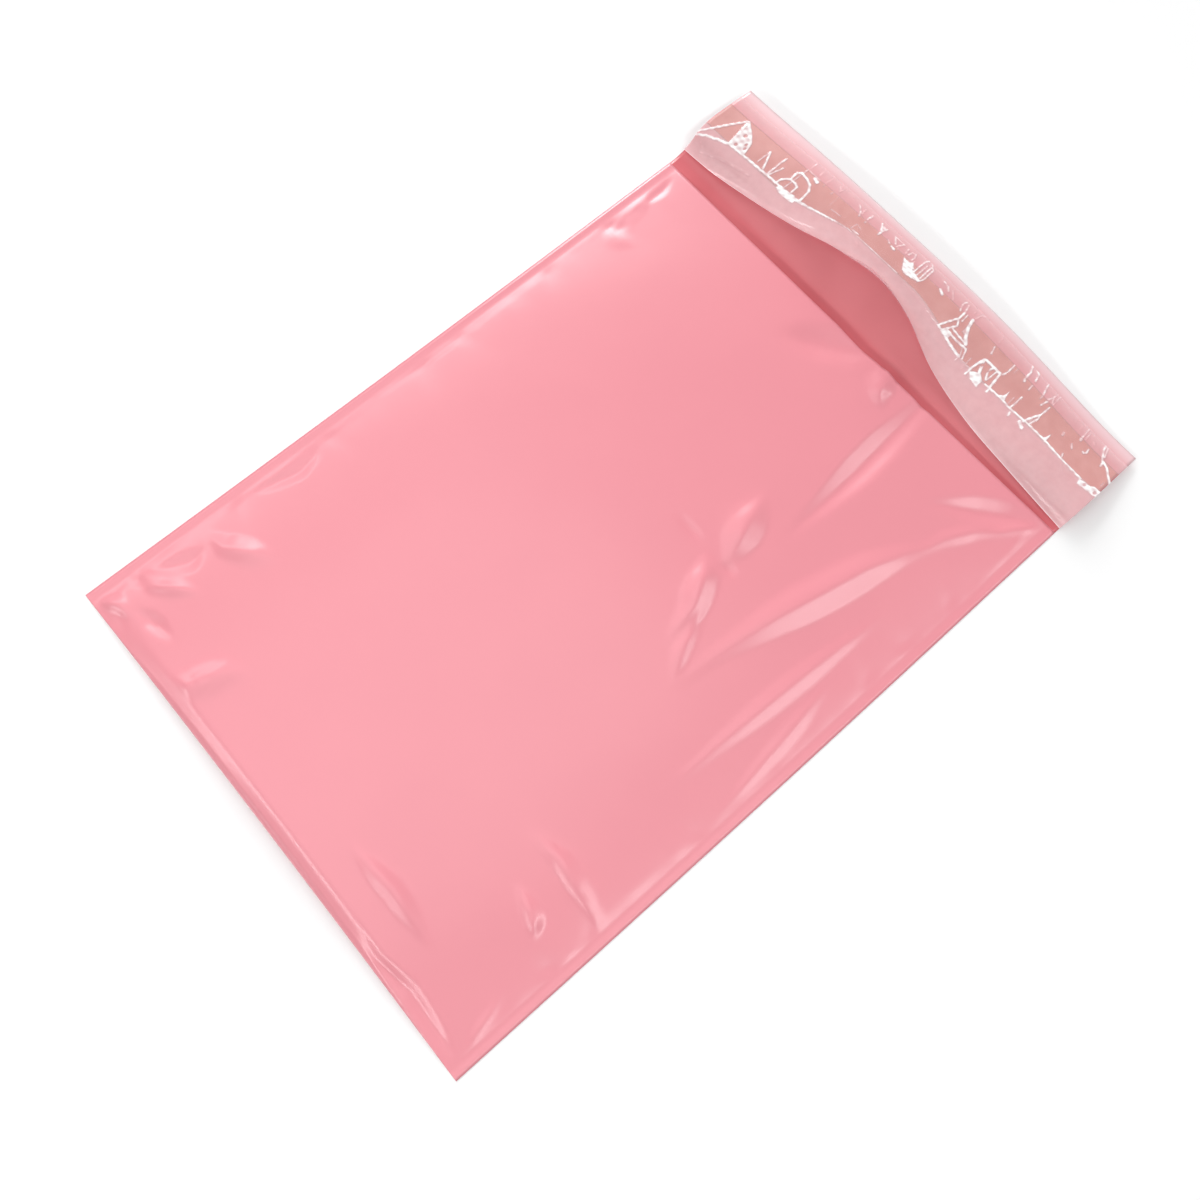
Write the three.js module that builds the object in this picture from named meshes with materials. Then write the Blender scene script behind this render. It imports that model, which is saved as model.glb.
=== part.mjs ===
// A poly mailer bag for shipping, lying open and empty on its back.
//
// One web of polyethylene film is folded across the bottom and heat-welded along both sides, so it
// makes a front panel, a back panel and the pocket between them. The back panel runs on past the
// mouth as the flap, which here stands a little off the table. A strip of tacky hot-melt glue lies
// across the inner face of the flap, under a clear release liner whose free edge hangs towards the
// mouth and has lifted in the middle.
//
// Units are millimetres and degrees. X runs across the bag, Y from the folded bottom towards the
// flap and Z up. Film gauges are drawn thicker than they are, so that the walls are solid.
import * as THREE from 'three';
import { mergeVertices } from 'three/addons/utils/BufferGeometryUtils.js';

// Bag
const bagWidth = 229;
const bagLength = 305;
const flapLength = 50;
const filmThickness = 0.3;
const weldWidth = 4;

// How the empty bag has puffed up: heights of the front panel over the table, along the middle
const foldHeight = 6;
const crownHeight = 8.6;
const mouthHeight = 6.6;
const crownReach = 60;
const flankPower = 6;

// How far the edges have drawn back from where they lie when the bag is pressed flat
const foldSetBack = 1;
const mouthSetBack = 3.8;
const sidewaysBow = 0.65;

// Glue and liner, measured from the end of the flap towards the mouth
const bareEdge = 6;
const glueFromEnd = 12;
const glueWidth = 15;
const glueThickness = 0.2;
const glueInset = 1;
const linerWidth = 38;
const linerThickness = 0.2;
const touchGap = 0.3;

// The flap's slope towards its end, at seven places along it and for three places across the bag
const firstBend = 0.35;
const secondBend = 0.65;
const middleShare = 0.44;
const flapSlopes = {
  left: [0, 18, 48, 14, -2, -3, -5],
  middle: [0, 28, 33, 33, 28, 4, -30],
  right: [0, 54, 6, -8, -12, -10, -6],
};

// The liner's free edge: share of the width from the left, distance past the mouth, and height
const freeEdge = [
  { share: 0, reach: 7.8, height: 3.0 },
  { share: 0.06, reach: 8.3, height: 4.0 },
  { share: 0.16, reach: 9.5, height: 8 },
  { share: 0.26, reach: 10.7, height: 14 },
  { share: 0.35, reach: 11.4, height: 22 },
  { share: 0.44, reach: 12.4, height: 26.5 },
  { share: 0.52, reach: 12.6, height: 20 },
  { share: 0.64, reach: 7.8, height: 11 },
  { share: 0.74, reach: 5.4, height: 6.2 },
  { share: 0.87, reach: 3.8, height: 3.4 },
  { share: 1, reach: 2.1, height: 1.8 },
];

// In the middle the liner has peeled off the glue too, over this much of the glue's width
const peelDepth = 7;
const peelHalfSpan = 52;

// Tunnels where the liner stands off the glue: share across, half width, height, and the stretch
// that each one takes, from the glue's lower line (0) to the liner's upper edge (1)
const tunnels = [
  { share: 0.06, halfWidth: 7, height: 1.6, from: -0.2, to: 0.7 },
  { share: 0.15, halfWidth: 4, height: 1.0, from: -0.1, to: 0.6 },
  { share: 0.22, halfWidth: 6, height: 1.5, from: -0.1, to: 0.75 },
  { share: 0.33, halfWidth: 4, height: 0.9, from: 0.4, to: 1.1 },
  { share: 0.45, halfWidth: 6, height: 1.8, from: 0.2, to: 1.3 },
  { share: 0.61, halfWidth: 7, height: 1.6, from: -0.1, to: 0.9 },
  { share: 0.70, halfWidth: 6, height: 1.5, from: -0.3, to: 0.6 },
  { share: 0.82, halfWidth: 4, height: 1.2, from: -0.2, to: 1.1 },
  { share: 0.97, halfWidth: 6, height: 1.3, from: -0.1, to: 0.9 },
];

// Creases of the front panel: points as shares of its width and length, half width and height
const creases = [
  { points: [[0.677, 0.995], [0.686, 0.73]], halfWidth: 6, height: 1.1 },
  { points: [[0.611, 0.995], [0.638, 0.95]], halfWidth: 4, height: 0.6 },
  { points: [[0.96, 0.99], [0.81, 0.9]], halfWidth: 5, height: 0.8 },
  { points: [[0.94, 0.96], [0.86, 0.79], [0.8, 0.54], [0.786, 0.39]], halfWidth: 6, height: 0.9 },
  { points: [[0.9, 0.74], [0.895, 0.6], [0.886, 0.38]], halfWidth: 5, height: 0.7 },
  { points: [[0.642, 0.63], [0.72, 0.49]], halfWidth: 6, height: 0.6 },
  { points: [[0.04, 0.94], [0.09, 0.86]], halfWidth: 5, height: 0.7 },
  { points: [[0.03, 0.33], [0.06, 0.31], [0.03, 0.21]], halfWidth: 5, height: 0.6 },
  { points: [[0.035, 0.157], [0.153, 0.213]], halfWidth: 6, height: 0.7 },
  { points: [[0.22, 0.03], [0.285, 0.09]], halfWidth: 5, height: 0.5 },
  { points: [[0.74, 0.03], [0.97, 0.015]], halfWidth: 5, height: -0.5 },
];

// How finely the surfaces are divided
const innerColumns = 28;
const edgeCrowding = 0.35;
const panelRows = 36;
const noseSteps = 6;
const rowsPerStation = 2;
const slopeStep = 0.6;
const linerColumns = 56;
const linerRows = 14;

// Places that follow from the sizes above
const halfWidth = bagWidth / 2;
const pocketHalfWidth = halfWidth - weldWidth;
const glueUpper = flapLength - glueFromEnd;
const glueLower = glueUpper - glueWidth;
const linerUpper = flapLength - bareEdge;
const linerLower = linerUpper - linerWidth;
const flapStations = [
  0,
  glueLower * firstBend,
  glueLower * secondBend,
  glueLower,
  (glueLower + glueUpper) / 2,
  glueUpper,
  flapLength,
];
const flapRows = flapStations.slice(1).flatMap((station, k) => (
  Array.from({ length: rowsPerStation }, (_, n) => (
    mix(flapStations[k], station, (n + 1) / rowsPerStation)
  ))
));
flapRows.unshift(0);
const glueLift = filmThickness + touchGap;
const linerLift = glueLift + glueThickness + touchGap;

function mix(a, b, share) {
  return a + (b - a) * share;
}

function ease(share) {
  const t = Math.min(Math.max(share, 0), 1);
  return t * t * (3 - 2 * t);
}

// A smooth curve through values at rising stations
function curveThrough(stations, values, at) {
  const last = stations.length - 1;
  let k = 0;
  while (k < last - 1 && at > stations[k + 1]) k += 1;
  const slopeAt = (n) => {
    const before = Math.max(n - 1, 0);
    const after = Math.min(n + 1, last);
    return (values[after] - values[before]) / (stations[after] - stations[before]);
  };
  const span = stations[k + 1] - stations[k];
  const t = Math.min(Math.max((at - stations[k]) / span, 0), 1);
  const start = values[k] * (1 + 2 * t) * (1 - t) ** 2 + slopeAt(k) * span * t * (1 - t) ** 2;
  const end = values[k + 1] * t * t * (3 - 2 * t) + slopeAt(k + 1) * span * t * t * (t - 1);
  return start + end;
}

// Triangles of one closed body, gathered patch by patch
class Skin {
  constructor() {
    this.corners = [];
  }

  triangle(a, b, c) {
    this.corners.push(a, b, c);
  }

  quad(a, b, c, d) {
    this.triangle(a, b, c);
    this.triangle(a, c, d);
  }

  // Rows of points, each running towards +X, with the rows following each other towards +Y
  patch(rows, facesUp) {
    for (let j = 0; j + 1 < rows.length; j += 1) {
      for (let i = 0; i + 1 < rows[j].length; i += 1) {
        const near = [rows[j][i], rows[j][i + 1]];
        const far = [rows[j + 1][i], rows[j + 1][i + 1]];
        if (facesUp) this.quad(near[0], near[1], far[1], far[0]);
        else this.quad(near[0], far[0], far[1], near[1]);
      }
    }
  }

  // A flat field inside a closed outline that runs anticlockwise seen from above
  field(outline, facesUp) {
    const centre = new THREE.Vector3();
    outline.forEach((point) => centre.add(point));
    centre.divideScalar(outline.length);
    outline.forEach((point, k) => {
      const next = outline[(k + 1) % outline.length];
      if (facesUp) this.triangle(centre, point, next);
      else this.triangle(centre, next, point);
    });
  }

  // A thin sheet between a lower and an upper grid of points, with its four rims
  sheet(lower, upper) {
    this.patch(upper, true);
    this.patch(lower, false);
    const lastRow = upper.length - 1;
    const lastColumn = upper[0].length - 1;
    for (let i = 0; i < lastColumn; i += 1) {
      this.quad(lower[0][i], lower[0][i + 1], upper[0][i + 1], upper[0][i]);
      this.quad(lower[lastRow][i + 1], lower[lastRow][i], upper[lastRow][i], upper[lastRow][i + 1]);
    }
    for (let j = 0; j < lastRow; j += 1) {
      this.quad(lower[j + 1][0], lower[j][0], upper[j][0], upper[j + 1][0]);
      const right = [lower[j][lastColumn], lower[j + 1][lastColumn]];
      this.quad(right[0], right[1], upper[j + 1][lastColumn], upper[j][lastColumn]);
    }
  }

  geometry() {
    const positions = this.corners.flatMap((point) => [point.x, point.y, point.z]);
    const loose = new THREE.BufferGeometry();
    loose.setAttribute('position', new THREE.Float32BufferAttribute(positions, 3));
    const merged = mergeVertices(loose, 1e-3);
    const index = merged.getIndex().array;
    const kept = [];
    for (let t = 0; t < index.length; t += 3) {
      const [a, b, c] = [index[t], index[t + 1], index[t + 2]];
      if (a !== b && b !== c && c !== a) kept.push(a, b, c);
    }
    merged.setIndex(kept);
    merged.computeVertexNormals();
    return merged;
  }
}

// Columns across the bag: both edges of each weld, and columns between that crowd towards them
function columnPlaces() {
  const places = [{ x: -halfWidth, u: -1 }];
  for (let i = 0; i <= innerColumns; i += 1) {
    const even = (2 * i) / innerColumns - 1;
    const crowded = -Math.cos((Math.PI * i) / innerColumns);
    const u = mix(even, crowded, edgeCrowding);
    places.push({ x: u * pocketHalfWidth, u });
  }
  places.push({ x: halfWidth, u: 1 });
  return places;
}

// 1 over most of the pocket's width, falling to 0 at the welds
function fullness(u) {
  return 1 - Math.abs(u) ** flankPower;
}

function distanceAlong(points, x, y) {
  let best = { distance: Infinity, share: 0 };
  const pieces = points.length - 1;
  for (let k = 0; k < pieces; k += 1) {
    const [ax, ay] = points[k];
    const [bx, by] = points[k + 1];
    const lengthSquared = (bx - ax) ** 2 + (by - ay) ** 2;
    const t = Math.min(Math.max(((x - ax) * (bx - ax) + (y - ay) * (by - ay)) / lengthSquared, 0), 1);
    const distance = Math.hypot(x - mix(ax, bx, t), y - mix(ay, by, t));
    if (distance < best.distance) best = { distance, share: (k + t) / pieces };
  }
  return best;
}

function creaseHeight(x, y) {
  let height = 0;
  creases.forEach((crease) => {
    const points = crease.points.map(([px, py]) => [px * bagWidth - halfWidth, py * bagLength]);
    const { distance, share } = distanceAlong(points, x, y);
    const taper = Math.sin(Math.PI * mix(0.08, 0.92, share));
    height += crease.height * taper * (1 - ease(distance / crease.halfWidth));
  });
  return height;
}

// Height of the front panel's outer face along the middle of the bag
function crownAt(y) {
  const fromFold = mix(foldHeight, crownHeight, ease(y / crownReach));
  return mix(mouthHeight, fromFold, ease((bagLength - y) / crownReach));
}

function frontPoint(place, share) {
  const full = fullness(place.u);
  const doubled = 2 * filmThickness;
  const foldRadius = mix(doubled, foldHeight, full) / 2;
  const start = foldSetBack * full + foldRadius;
  const end = bagLength - mouthSetBack * full;
  const y = mix(start, end, share);
  const creased = creaseHeight(place.x, y) * full * ease(share / 0.02);
  const height = mix(doubled, crownAt(y * (share > 0 ? 1 : 0)), full);
  const x = place.x + sidewaysBow * Math.sin(Math.PI * share);
  return new THREE.Vector3(x, y, height + creased);
}

// Slope of the flap, in radians, at a share across the bag and a distance from the mouth
function flapSlope(share, distance) {
  const left = curveThrough(flapStations, flapSlopes.left, distance);
  const middle = curveThrough(flapStations, flapSlopes.middle, distance);
  const right = curveThrough(flapStations, flapSlopes.right, distance);
  const slope = share < middleShare
    ? mix(left, middle, ease(share / middleShare))
    : mix(middle, right, ease((share - middleShare) / (1 - middleShare)));
  return THREE.MathUtils.degToRad(slope);
}

// A point on the flap's under face, or the given lift above it, square to the film
function flapPoint(x, distance, lift) {
  const share = (x + halfWidth) / bagWidth;
  const steps = Math.max(Math.ceil(distance / slopeStep), 1);
  const step = distance / steps;
  let y = bagLength;
  let z = 0;
  for (let k = 0; k < steps; k += 1) {
    const slope = flapSlope(share, (k + 0.5) * step);
    y += step * Math.cos(slope);
    z += step * Math.sin(slope);
  }
  const slope = flapSlope(share, distance);
  return new THREE.Vector3(x, y - lift * Math.sin(slope), z + lift * Math.cos(slope));
}

// Folded and welded film with its flap
function bagFilm() {
  const skin = new Skin();
  const places = columnPlaces();
  const lastColumn = places.length - 1;
  const inner = places.slice(1, -1);
  const shares = Array.from({ length: panelRows + 1 }, (_, j) => j / panelRows);
  const drop = new THREE.Vector3(0, 0, -filmThickness);

  const front = shares.map((share) => places.map((place) => frontPoint(place, share)));
  const ceiling = front.map((row) => row.slice(1, -1).map((point) => point.clone().add(drop)));
  skin.patch(front, true);
  skin.patch(ceiling, false);

  // Sides of the back panel follow the front panel's, and its far side is the mouth line
  const sidePoint = (column, j, z) => {
    const point = front[j][column].clone();
    point.z = z;
    return point;
  };
  const outline = (first, last, z) => {
    const points = [];
    for (let i = first; i < last; i += 1) points.push(sidePoint(i, 0, z));
    for (let j = 0; j < panelRows; j += 1) points.push(sidePoint(last, j, z));
    for (let i = last; i > first; i -= 1) points.push(new THREE.Vector3(places[i].x, bagLength, z));
    for (let j = panelRows; j > 0; j -= 1) points.push(sidePoint(first, j, z));
    return points;
  };
  skin.field(outline(0, lastColumn, 0), false);
  skin.field(outline(1, lastColumn - 1, filmThickness), true);

  // Welded sides, in two layers that meet where the panels are fused
  for (let j = 0; j < panelRows; j += 1) {
    [0, filmThickness].forEach((low) => {
      const high = low + filmThickness;
      skin.quad(sidePoint(0, j + 1, low), sidePoint(0, j, low),
        sidePoint(0, j, high), sidePoint(0, j + 1, high));
      skin.quad(sidePoint(lastColumn, j, low), sidePoint(lastColumn, j + 1, low),
        sidePoint(lastColumn, j + 1, high), sidePoint(lastColumn, j, high));
    });
  }

  // Cut edge of the front panel at the mouth
  const mouthUnder = places.map((place, i) => (
    i === 0 || i === lastColumn ? sidePoint(i, panelRows, filmThickness) : ceiling[panelRows][i - 1]
  ));
  for (let i = 0; i < lastColumn; i += 1) {
    skin.quad(mouthUnder[i + 1], mouthUnder[i], front[panelRows][i], front[panelRows][i + 1]);
  }

  // Round nose of the bottom fold, outside and inside
  const nose = (top, bottomZ) => {
    const radius = (top.z - bottomZ) / 2;
    return Array.from({ length: noseSteps + 1 }, (_, a) => {
      const angle = Math.PI * (0.5 + a / noseSteps);
      const y = top.y + radius * Math.cos(angle);
      return new THREE.Vector3(top.x, y, bottomZ + radius * (1 + Math.sin(angle)));
    });
  };
  const outerNose = places.map((_, i) => nose(front[0][i], 0));
  const innerNose = inner.map((_, i) => nose(ceiling[0][i], filmThickness));
  for (let a = 0; a < noseSteps; a += 1) {
    for (let i = 0; i + 1 < outerNose.length; i += 1) {
      skin.quad(outerNose[i][a + 1], outerNose[i + 1][a + 1], outerNose[i + 1][a], outerNose[i][a]);
    }
    for (let i = 0; i + 1 < innerNose.length; i += 1) {
      skin.quad(innerNose[i][a], innerNose[i + 1][a], innerNose[i + 1][a + 1], innerNose[i][a + 1]);
    }
    skin.triangle(sidePoint(0, 0, filmThickness), outerNose[0][a + 1], outerNose[0][a]);
    skin.triangle(sidePoint(lastColumn, 0, filmThickness), outerNose[lastColumn][a],
      outerNose[lastColumn][a + 1]);
  }

  // Flap
  const flapGrid = (lift) => flapRows.map((distance) => (
    places.map((place) => flapPoint(place.x, distance, lift))
  ));
  const under = flapGrid(0);
  const over = flapGrid(filmThickness);
  const lastRow = flapRows.length - 1;
  skin.patch(over, true);
  skin.patch(under, false);
  for (let k = 0; k < lastRow; k += 1) {
    skin.quad(under[k + 1][0], under[k][0], over[k][0], over[k + 1][0]);
    skin.quad(under[k][lastColumn], under[k + 1][lastColumn],
      over[k + 1][lastColumn], over[k][lastColumn]);
  }
  for (let i = 0; i < lastColumn; i += 1) {
    skin.quad(under[lastRow][i + 1], under[lastRow][i], over[lastRow][i], over[lastRow][i + 1]);
  }
  return skin.geometry();
}

// Hot-melt strip on the inner face of the flap
function adhesiveStrip() {
  const skin = new Skin();
  const rows = flapRows.filter((distance) => distance >= glueLower && distance <= glueUpper);
  const grid = (lift) => rows.map((distance) => (
    columnPlaces().map((place) => {
      const x = (place.x * (halfWidth - glueInset)) / halfWidth;
      return flapPoint(x, distance, lift);
    })
  ));
  skin.sheet(grid(glueLift), grid(glueLift + glueThickness));
  return skin.geometry();
}

function tunnelHeight(x, distance) {
  const share = (distance - glueLower) / (linerUpper - glueLower);
  let height = 0;
  tunnels.forEach((tunnel) => {
    const across = (x + halfWidth - tunnel.share * bagWidth) / tunnel.halfWidth;
    const along = (share - tunnel.from) / (tunnel.to - tunnel.from);
    if (along > 0 && along < 1) {
      height += tunnel.height * Math.sin(Math.PI * along) * (1 - ease(Math.abs(across)));
    }
  });
  return height;
}

// A point on the liner's under face, at a distance from the mouth measured along the flap
function linerPoint(x, distance) {
  const share = (x + halfWidth) / bagWidth;
  const point = flapPoint(x, distance, linerLift + tunnelHeight(x, distance));
  const fromMiddle = (share - middleShare) * bagWidth;
  const peelLine = glueLower + peelDepth * (1 - ease(Math.abs(fromMiddle) / peelHalfSpan));
  const free = Math.max((peelLine - distance) / (peelLine - linerLower), 0);
  const shares = freeEdge.map((place) => place.share);
  const reach = curveThrough(shares, freeEdge.map((place) => place.reach), share);
  const height = curveThrough(shares, freeEdge.map((place) => place.height), share);
  const resting = flapPoint(x, linerLower, linerLift);
  const lift = free ** 1.6;
  point.y += (bagLength + reach - resting.y) * lift;
  point.z += (height - resting.z) * lift;
  return point;
}

// Clear release liner over the glue, with its free edge towards the mouth
function releaseLiner() {
  const skin = new Skin();
  const under = Array.from({ length: linerRows + 1 }, (_, k) => (
    Array.from({ length: linerColumns + 1 }, (_, i) => (
      linerPoint(mix(-halfWidth, halfWidth, i / linerColumns),
        mix(linerLower, linerUpper, k / linerRows))
    ))
  ));
  const over = under.map((row, k) => row.map((point, i) => {
    const before = under[Math.max(k - 1, 0)][i];
    const after = under[Math.min(k + 1, linerRows)][i];
    const left = row[Math.max(i - 1, 0)];
    const right = row[Math.min(i + 1, linerColumns)];
    const along = new THREE.Vector3().subVectors(after, before);
    const across = new THREE.Vector3().subVectors(right, left);
    const normal = new THREE.Vector3().crossVectors(across, along).normalize();
    return point.clone().addScaledVector(normal, linerThickness);
  }));
  skin.sheet(under, over);
  return skin.geometry();
}

const pinkFilm = new THREE.MeshStandardMaterial({ color: 0xf59aa9, roughness: 0.42, metalness: 0 });
const hotMelt = new THREE.MeshStandardMaterial({ color: 0xd9a79b, roughness: 0.3, metalness: 0 });
const clearFilm = new THREE.MeshStandardMaterial({ color: 0xf3e4e8, roughness: 0.12, metalness: 0 });

function named(name, geometry, material) {
  const mesh = new THREE.Mesh(geometry, material);
  mesh.name = name;
  return mesh;
}

const pieces = new THREE.Group();
pieces.add(named('bag_film', bagFilm(), pinkFilm));
pieces.add(named('adhesive_strip', adhesiveStrip(), hotMelt));
pieces.add(named('release_liner', releaseLiner(), clearFilm));

// The origin is the middle of the bag's footprint, on the table
const extent = new THREE.Box3().setFromObject(pieces);
const middle = extent.getCenter(new THREE.Vector3());
pieces.position.set(-middle.x, -middle.y, -extent.min.z);

const mailerBag = new THREE.Group();
mailerBag.add(pieces);

export default mailerBag;
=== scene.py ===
from math import radians

import bpy
import numpy as np
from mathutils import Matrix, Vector


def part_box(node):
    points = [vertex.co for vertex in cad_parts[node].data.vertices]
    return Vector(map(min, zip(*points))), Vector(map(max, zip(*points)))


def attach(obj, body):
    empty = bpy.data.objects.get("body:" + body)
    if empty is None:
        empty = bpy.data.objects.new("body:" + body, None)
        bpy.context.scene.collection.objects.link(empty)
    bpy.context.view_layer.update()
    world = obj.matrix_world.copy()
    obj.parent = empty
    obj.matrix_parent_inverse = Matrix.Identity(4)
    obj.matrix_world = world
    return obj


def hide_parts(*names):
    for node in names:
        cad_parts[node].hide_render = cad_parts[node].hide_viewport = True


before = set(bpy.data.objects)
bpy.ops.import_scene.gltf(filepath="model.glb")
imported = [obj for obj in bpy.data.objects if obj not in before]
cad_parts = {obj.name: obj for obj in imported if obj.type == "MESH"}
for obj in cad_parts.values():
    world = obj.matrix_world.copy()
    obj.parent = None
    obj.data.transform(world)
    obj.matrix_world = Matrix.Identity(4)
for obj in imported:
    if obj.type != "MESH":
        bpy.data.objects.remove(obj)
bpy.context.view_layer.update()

MM = 0.001


# Camera
# It stands over the lower right part of the bag and looks down at its middle, turned so that the
# flap points to the upper right of the picture.
camera_place_mm = (95.78, -99.83, 381.74)
camera_turn_degrees = (15.7484, -0.5426, 49.0471)
camera_lens_mm = 30.585
bpy.ops.object.select_all(action="DESELECT")
bpy.ops.object.camera_add(
    location=[c * MM for c in camera_place_mm],
    rotation=[radians(a) for a in camera_turn_degrees],
)
camera = bpy.context.object
camera.name = "camera"
camera.data.lens = camera_lens_mm
camera.data.sensor_width = 36
camera.data.clip_start = 0.01
bpy.context.scene.camera = camera
bpy.context.scene.view_settings.view_transform = "Standard"


# Studio floor
# Matt white studio paper, laid flat, on which the bag lies. It keeps the bag's soft shadow.
floor_size = 6.0
floor_colour = "#F4F4F4"


def linear(hex_colour):
    """An sRGB hex colour as linear red, green, blue and alpha."""
    parts = [int(hex_colour[k:k + 2], 16) / 255 for k in (1, 3, 5)]
    return [p / 12.92 if p <= 0.04045 else ((p + 0.055) / 1.055) ** 2.4 for p in parts] + [1.0]


def add_node(material, kind, settings=None, inputs=None):
    """Adds a node, sets its properties and its inputs, and links an input that is given a socket."""
    node = material.node_tree.nodes.new(kind)
    for name, value in (settings or {}).items():
        setattr(node, name, value)
    for name, value in (inputs or {}).items():
        if isinstance(value, bpy.types.NodeSocket):
            material.node_tree.links.new(value, node.inputs[name])
        else:
            node.inputs[name].default_value = value
    return node


def new_material(name):
    """An empty node material and its output node."""
    material = bpy.data.materials.new(name)
    material.use_nodes = True
    material.node_tree.nodes.clear()
    return material, add_node(material, "ShaderNodeOutputMaterial")


def join(material, output_socket, input_socket):
    material.node_tree.links.new(output_socket, input_socket)


bpy.ops.object.select_all(action="DESELECT")
bpy.ops.mesh.primitive_plane_add(size=floor_size, location=(0, 0, 0))
floor = bpy.context.object
floor.name = "studio_floor"
paper, paper_output = new_material("matt_white_paper")
paper_shader = add_node(paper, "ShaderNodeBsdfDiffuse", inputs={"Color": linear(floor_colour)})
join(paper, paper_shader.outputs["BSDF"], paper_output.inputs["Surface"])
floor.data.materials.append(paper)


# Studio lights
# A broad soft box stands low past the flap's left end, so shadows fall towards the bottom fold
# and the right edge, as in the photo. One overhead gives the lower half its faint sheen, strip boxes
# along the bag's sides and its bottom draw that of the folds, and a white room fills in the rest.
# Each has its place, aim, length and width in metres, and its power in watts.
lamps = [
    ("soft_box_key", Vector((-2.1, 1.5, 0.95)), Vector((0, 0, 0)), 1.4, 1.4, 48.0),
    ("soft_box_overhead", Vector((-0.25, -0.22, 1.0)), Vector((-0.25, -0.22, 0)), 0.9, 0.9, 2.5),
    ("strip_box_left", Vector((-1.2, 0.1, 1.0)), Vector((0, 0.1, 0)), 1.4, 0.2, 3.4),
    ("strip_box_right", Vector((0.66, 0.25, 1.0)), Vector((0, 0.25, 0)), 1.6, 0.15, 5.2),
    ("strip_box_front", Vector((0, -1.1, 0.9)), Vector((0, -0.1, 0)), 1.4, 0.15, 5.0),
]
for name, place, aim, length, width, power in lamps:
    bpy.ops.object.light_add(type="AREA", location=place)
    lamp = bpy.context.object
    lamp.name = name
    lamp.data.shape = "RECTANGLE"
    lamp.data.size = length
    lamp.data.size_y = width
    lamp.data.energy = power
    lamp.rotation_euler = (aim - place).to_track_quat("-Z", "Y").to_euler()
room_strength = 0.34
room = bpy.data.worlds.new("white_room")
room.use_nodes = True
room.node_tree.nodes["Background"].inputs["Color"].default_value = (1, 1, 1, 1)
room.node_tree.nodes["Background"].inputs["Strength"].default_value = room_strength
bpy.context.scene.world = room


# Folded and welded bag film
# One web of pink polyethylene film, 60 micrometres thick, blown and slit to 229 mm. It is folded
# across the bottom, hot-bar welded along both sides, and runs on past the mouth as the flap.

# Shapes are worked out in millimetres from the bag's left edge and from the bottom fold, and the
# film is drawn thicker than it is, so that its edges show
bag_width = 229.0
bag_length = 305.0
flap_length = 50.0
weld_width = 4.0
film_gauge = 0.15
fold_height = 4.4
crown_height = 7.4
mouth_height = 6.0
crown_reach = 60.0
nose_reach = 9.0
steep_share = 0.03
steep_power = 40
fold_set_back = 1.0
mouth_set_back = 3.8
sideways_bow = 0.65
half_width = bag_width / 2
pocket_half = half_width - weld_width
glue_lower = 23.0
glue_upper = 38.0

# Slopes of the flap in degrees at distances along it, at its left end, middle and right end
first_bend = 0.35 * glue_lower
second_bend = 0.65 * glue_lower
glue_middle = (glue_lower + glue_upper) / 2
flap_stations = [0, first_bend, second_bend, glue_lower, glue_middle, glue_upper, flap_length]
flap_slopes_left = [0, 18, 48, 14, -2, -3, -5]
flap_slopes_middle = [0, 28, 33, 33, 28, 4, -30]
flap_slopes_right = [0, 54, 6, -8, -12, -10, -6]
middle_share = 0.44
flap_steps = 160

# Where the bag's left edge and its bottom fold lie in the frame
film_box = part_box("bag_film")
left_seam = film_box[0].x / MM
fold_line = film_box[0].y / MM

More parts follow.
